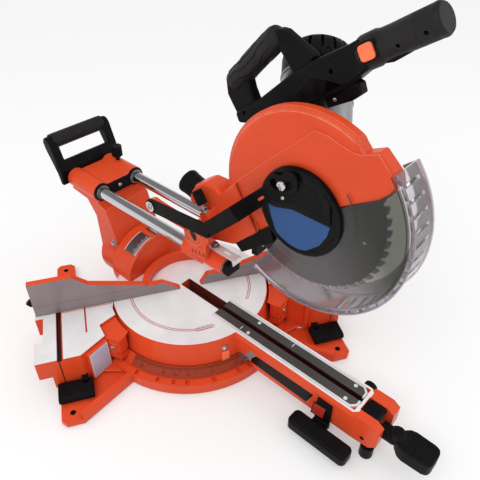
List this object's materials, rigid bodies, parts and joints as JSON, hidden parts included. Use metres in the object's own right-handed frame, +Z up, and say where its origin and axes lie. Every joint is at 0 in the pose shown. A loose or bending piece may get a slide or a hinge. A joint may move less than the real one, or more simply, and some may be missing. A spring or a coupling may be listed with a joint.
{
  "type": "sliding mitre saw",
  "caption": "Sliding compound mitre saw with swivelling table, tilting rail arm, chop head with linked clear blade guard, sliding fences and pull-out table ends.",
  "frame": {"origin": "on the bench, at the centre of the bench bolt holes", "axes": "+Z up, -Y towards the user, +X to the user's right; the table is swung to the right and the head is up"},
  "size_m": [0.604, 0.758, 0.6534],
  "materials": {
    "orange_paint": "gloss casting paint, bare where machined",
    "bare_aluminium": "machined",
    "black_plastic": "moulded",
    "rubber": "matt",
    "steel": "zinc plated",
    "chrome": "polished",
    "dark_plate": "satin",
    "clear_plastic": "clear",
    "blade_steel": "ground",
    "orange_plastic": "moulded",
    "bronze": "plain",
    "iron_core": "laminated",
    "scale_plate": "printed"
  },
  "bodies": {
    "base": {"base_casting": "orange_paint", "mitre_scale": "scale_plate", "rubber_feet": "rubber", "lower_fence": "bare_aluminium", "base_fasteners": "steel"},
    "extension_left": {"extension_left": "orange_paint", "extension_rods_left": "steel"},
    "extension_right": {"extension_right": "orange_paint", "extension_rods_right": "steel"},
    "extension_lock_left": {"extension_lock_left": "black_plastic"},
    "extension_lock_right": {"extension_lock_right": "black_plastic"},
    "upper_fence_left": {"upper_fence_left": "bare_aluminium"},
    "upper_fence_right": {"upper_fence_right": "bare_aluminium"},
    "fence_lock_left": {"fence_lock_left": "black_plastic"},
    "fence_lock_right": {"fence_lock_right": "black_plastic"},
    "turntable": {"turntable": "orange_paint", "kerf_plate_left": "dark_plate", "kerf_plate_right": "dark_plate", "kerf_screws": "steel", "mitre_pointer": "clear_plastic", "bevel_scale": "scale_plate", "stabiliser_bar": "black_plastic", "bevel_pivot_bolt": "steel"},
    "mitre_lock_handle": {"mitre_lock_handle": "black_plastic"},
    "detent_lever": {"detent_lever": "black_plastic"},
    "detent_override_knob": {"detent_override_knob": "black_plastic"},
    "arm_foot": {"arm_foot": "rubber"},
    "bevel_arm": {"bevel_arm": "orange_paint", "rail_bushings": "bronze", "rail_seal": "black_plastic", "rear_handle": "black_plastic"},
    "rail_lock_knob": {"rail_lock_knob": "black_plastic"},
    "bevel_lock_lever": {"bevel_lock_lever": "black_plastic"},
    "carriage": {"rails": "chrome", "carriage": "orange_paint", "carriage_caps": "black_plastic", "carriage_pins": "steel", "chop_spring": "steel"},
    "guard_link": {"guard_link": "black_plastic"},
    "head": {"upper_guard": "orange_paint", "dust_port": "black_plastic", "dust_flap": "black_plastic", "gear_case": "bare_aluminium", "motor_housing": "bare_aluminium", "motor_cap": "black_plastic", "stator": "iron_core", "head_bearings": "steel", "handle_left": "black_plastic", "handle_right": "black_plastic", "head_screws": "steel"},
    "depth_stop_screw": {"depth_stop_screw": "steel"},
    "spindle_lock": {"spindle_lock": "black_plastic"},
    "trigger": {"trigger": "black_plastic"},
    "lock_off_button": {"lock_off_button": "orange_plastic"},
    "blade": {"blade": "blade_steel", "arbor_shaft": "steel", "arbor_clamp": "steel"},
    "armature": {"armature": "iron_core"},
    "lower_guard": {"lower_guard": "clear_plastic", "guard_hub": "black_plastic"}
  },
  "joints": [
    {"name": "mitre", "type": "hinge", "parent": "base", "child": "turntable", "pos_m": [0, -0.016, 0.05], "axis": [0, 0, 1], "range_deg": [-76.6, 13.4]},
    {"name": "bevel", "type": "hinge", "parent": "turntable", "child": "bevel_arm", "pos_m": [-0.09432, 0.13731, 0.085], "axis": [0.524, -0.8517, 0], "range_deg": [0, 45]},
    {"name": "slide", "type": "slide", "parent": "bevel_arm", "child": "carriage", "axis": [-0.524, 0.8517, 0], "range_m": [0, 0.228]},
    {"name": "chop", "type": "hinge", "parent": "carriage", "child": "head", "pos_m": [0.03144, -0.0671, 0.262], "axis": [0.8517, 0.524, 0], "range_deg": [0, 48], "stiffness_Nm_per_rad": 16, "springref_deg": -114.59},
    {"name": "guard_swing", "type": "hinge", "parent": "head", "child": "lower_guard", "pos_m": [0.12136, -0.23235, 0.384], "axis": [-0.8517, -0.524, 0], "range_deg": [0, 137]},
    {"name": "link_swing", "type": "hinge", "parent": "carriage", "child": "guard_link", "pos_m": [-0.05582, -0.03977, 0.302], "axis": [0.8517, 0.524, 0], "range_deg": [0, 53.2]},
    {"name": "blade_spin", "type": "hinge", "parent": "head", "child": "blade", "pos_m": [0.1435, -0.21873, 0.384], "axis": [0.8517, 0.524, 0], "continuous": true},
    {"name": "armature_spin", "type": "hinge", "parent": "head", "child": "armature", "pos_m": [0.17786, -0.12516, 0.47899], "axis": [0.2698, 0.6833, 0.6785], "continuous": true},
    {"name": "trigger_pull", "type": "hinge", "parent": "head", "child": "trigger", "pos_m": [0.20186, -0.24106, 0.58671], "axis": [-0.8517, -0.524, 0], "range_deg": [0, 12], "stiffness_Nm_per_rad": 0.3, "springref_deg": -11.46},
    {"name": "lock_off_push", "type": "slide", "parent": "head", "child": "lock_off_button", "axis": [0.8517, 0.524, 0], "range_m": [0, 0.003], "stiffness_N_per_m": 500, "springref_m": -0.003},
    {"name": "spindle_lock_push", "type": "slide", "parent": "head", "child": "spindle_lock", "axis": [0.5233, -0.8506, 0.0523], "range_m": [0, 0.005], "stiffness_N_per_m": 500, "springref_m": -0.003},
    {"name": "depth_stop_turn", "type": "hinge", "parent": "head", "child": "depth_stop_screw", "pos_m": [0.02047, -0.10843, 0.31213], "axis": [-0.2854, 0.4639, 0.8387], "range_deg": [-180, 180]},
    {"name": "extension_left_slide", "type": "slide", "parent": "base", "child": "extension_left", "axis": [-1, 0, 0], "range_m": [0, 0.05]},
    {"name": "extension_right_slide", "type": "slide", "parent": "base", "child": "extension_right", "axis": [1, 0, 0], "range_m": [0, 0.05]},
    {"name": "extension_lock_left_flip", "type": "hinge", "parent": "base", "child": "extension_lock_left", "pos_m": [-0.217, -0.136, 0.026], "axis": [-1, 0, 0], "range_deg": [0, 40]},
    {"name": "extension_lock_right_flip", "type": "hinge", "parent": "base", "child": "extension_lock_right", "pos_m": [0.217, -0.136, 0.026], "axis": [-1, 0, 0], "range_deg": [0, 40]},
    {"name": "upper_fence_left_slide", "type": "slide", "parent": "base", "child": "upper_fence_left", "axis": [-1, 0, 0], "range_m": [0, 0.07]},
    {"name": "upper_fence_right_slide", "type": "slide", "parent": "base", "child": "upper_fence_right", "axis": [1, 0, 0], "range_m": [0, 0.07]},
    {"name": "fence_lock_left_turn", "type": "hinge", "parent": "base", "child": "fence_lock_left", "pos_m": [-0.262, -0.009, 0.099], "axis": [0, 1, 0], "range_deg": [0, 90]},
    {"name": "fence_lock_right_turn", "type": "hinge", "parent": "base", "child": "fence_lock_right", "pos_m": [0.262, -0.009, 0.099], "axis": [0, -1, 0], "range_deg": [0, 90]},
    {"name": "mitre_lock_twist", "type": "hinge", "parent": "turntable", "child": "mitre_lock_handle", "pos_m": [0.20255, -0.34811, 0.052], "axis": [0.524, -0.8517, 0], "range_deg": [0, 90]},
    {"name": "detent_press", "type": "hinge", "parent": "turntable", "child": "detent_lever", "pos_m": [0.20894, -0.35944, 0.076], "axis": [0.8517, 0.524, 0], "range_deg": [0, 4], "stiffness_Nm_per_rad": 2, "springref_deg": -5.73},
    {"name": "detent_override_turn", "type": "hinge", "parent": "turntable", "child": "detent_override_knob", "pos_m": [0.22192, -0.32328, 0.063], "axis": [0.8517, 0.524, 0], "range_deg": [-45, 45]},
    {"name": "arm_foot_turn", "type": "hinge", "parent": "turntable", "child": "arm_foot", "pos_m": [0.19931, -0.38768, 0.04], "axis": [0, 0, 1], "range_deg": [-180, 180]},
    {"name": "rail_lock_turn", "type": "hinge", "parent": "bevel_arm", "child": "rail_lock_knob", "pos_m": [-0.09169, 0.20937, 0.256], "axis": [0, 0, 1], "range_deg": [-180, 180]},
    {"name": "bevel_lock_turn", "type": "hinge", "parent": "bevel_arm", "child": "bevel_lock_lever", "pos_m": [-0.11266, 0.16712, 0.085], "axis": [0.524, -0.8517, 0], "range_deg": [0, 50]}
  ],
  "couplings": [
    {"joint": "guard_swing", "follows": "chop", "ratio": 2.85},
    {"joint": "link_swing", "follows": "chop", "ratio": 1.105},
    {"joint": "armature_spin", "follows": "blade_spin", "ratio": -4}
  ]
}
